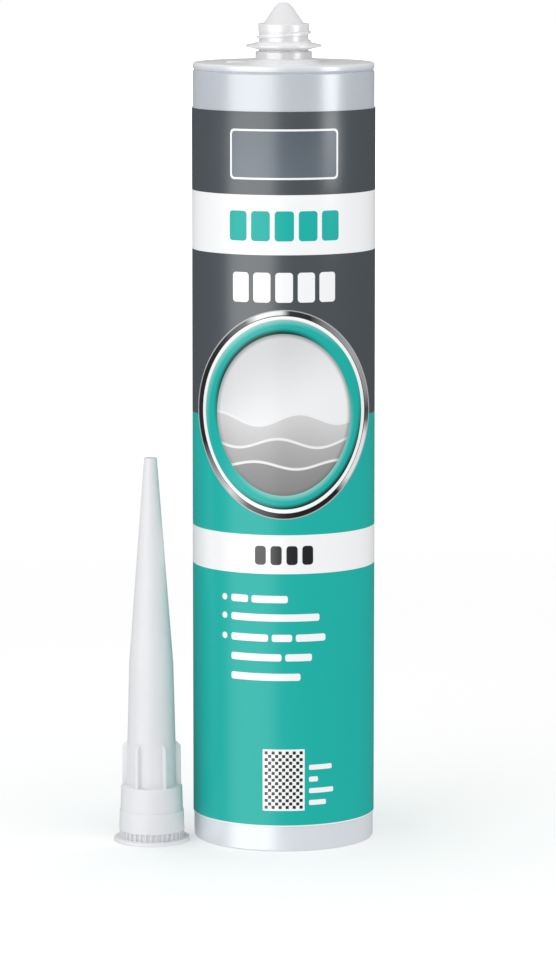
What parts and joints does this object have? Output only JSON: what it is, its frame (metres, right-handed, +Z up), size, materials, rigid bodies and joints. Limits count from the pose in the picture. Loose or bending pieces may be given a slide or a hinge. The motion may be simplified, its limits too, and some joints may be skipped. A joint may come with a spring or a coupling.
{
  "type": "caulk tube",
  "caption": "Cylindrical sealant cartridge with a threaded neck, a wrap-round label, a plunger in its open end and its conical screw-on nozzle standing beside it.",
  "frame": {"origin": "centre of the open rear end of the barrel, on the surface that the cartridge stands on", "axes": "+Z up the barrel axis towards the neck; -Y is the front of the label; +X is to the right of the label seen from the front"},
  "size_m": [0.0723, 0.0504, 0.231],
  "materials": {
    "barrel_plastic": "pearly white, satin gloss",
    "plunger_plastic": "matt natural white",
    "sealant_paste": "white paste",
    "label_film": "printed film in grey, white and green",
    "nozzle_plastic": "cool white, slightly translucent"
  },
  "bodies": {
    "cartridge": {"barrel": "barrel_plastic", "label": "label_film", "sealant": "sealant_paste", "nozzle": "nozzle_plastic"},
    "piston": {"plunger": "plunger_plastic"}
  },
  "joints": [
    {"name": "plunger_slide", "type": "slide", "parent": "cartridge", "child": "piston", "axis": [0, 0, 1], "range_m": [0, 0.18], "deforming": ["sealant"]}
  ]
}
